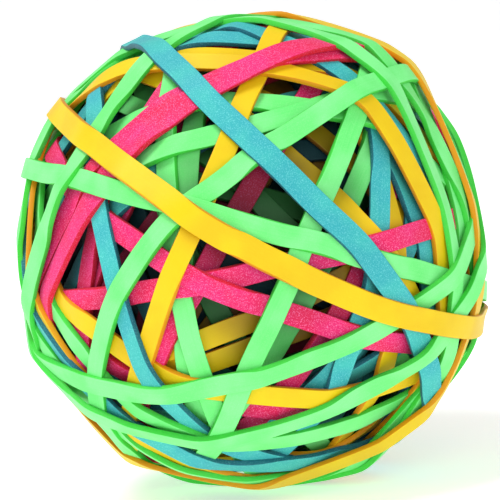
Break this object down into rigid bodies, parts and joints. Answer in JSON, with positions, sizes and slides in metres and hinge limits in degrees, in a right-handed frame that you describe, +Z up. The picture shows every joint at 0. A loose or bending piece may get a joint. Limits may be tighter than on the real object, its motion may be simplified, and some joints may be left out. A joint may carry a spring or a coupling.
{
  "type": "rubber band ball",
  "caption": "Ball wound by hand from stretched flat rubber bands in mint green, yellow, pink and teal, kept on a desk as a store of bands or a toy.",
  "frame": {"origin": "on the ground, below the middle of the ball's box", "axes": "+Z up, -Y towards the show side, +X to the right as seen from the show side"},
  "size_m": [0.0724, 0.067, 0.0678],
  "materials": {
    "green_rubber": "matte mint green band rubber with a fine powdery bloom",
    "yellow_rubber": "matte yellow band rubber, deeper orange on its cut edges",
    "pink_rubber": "matte hot pink band rubber speckled with light dust",
    "teal_rubber": "matte teal blue band rubber speckled with light dust",
    "inner_rubber": "dark matte rubber of the hidden bands, seen only in the gaps"
  },
  "bodies": {
    "root": {"band_01_yellow": "yellow_rubber", "band_02_green": "green_rubber", "band_03_yellow": "yellow_rubber", "band_04_yellow": "yellow_rubber", "band_05_teal": "teal_rubber", "band_06_teal": "teal_rubber", "band_07_pink": "pink_rubber", "band_08_pink": "pink_rubber", "band_09_pink": "pink_rubber", "band_10_teal": "teal_rubber", "band_11_green": "green_rubber", "band_12_yellow": "yellow_rubber", "band_13_teal": "teal_rubber", "band_14_yellow": "yellow_rubber", "band_15_green": "green_rubber", "band_16_teal": "teal_rubber", "band_17_teal": "teal_rubber", "band_18_yellow": "yellow_rubber", "band_19_pink": "pink_rubber", "band_20_pink": "pink_rubber", "band_21_green": "green_rubber", "band_22_green": "green_rubber", "band_23_yellow": "yellow_rubber", "band_24_teal": "teal_rubber", "band_25_teal": "teal_rubber", "band_26_green": "green_rubber", "band_27_pink": "pink_rubber", "band_28_yellow": "yellow_rubber", "band_29_pink": "pink_rubber", "band_30_yellow": "yellow_rubber", "band_31_teal": "teal_rubber", "band_32_green": "green_rubber", "band_33_green": "green_rubber", "band_34_yellow": "yellow_rubber", "band_35_pink": "pink_rubber", "band_36_pink": "pink_rubber", "band_37_yellow": "yellow_rubber", "band_38_teal": "teal_rubber", "band_39_green": "green_rubber", "band_40_green": "green_rubber", "band_41_green": "green_rubber", "band_42_green": "green_rubber", "band_43_green": "green_rubber", "band_44_green": "green_rubber", "band_45_green": "green_rubber", "band_46_green": "green_rubber", "band_47_teal": "teal_rubber", "band_48_yellow": "yellow_rubber", "band_49_green": "green_rubber", "band_50_yellow": "yellow_rubber", "inner_windings": "inner_rubber"}
  },
  "joints": []
}
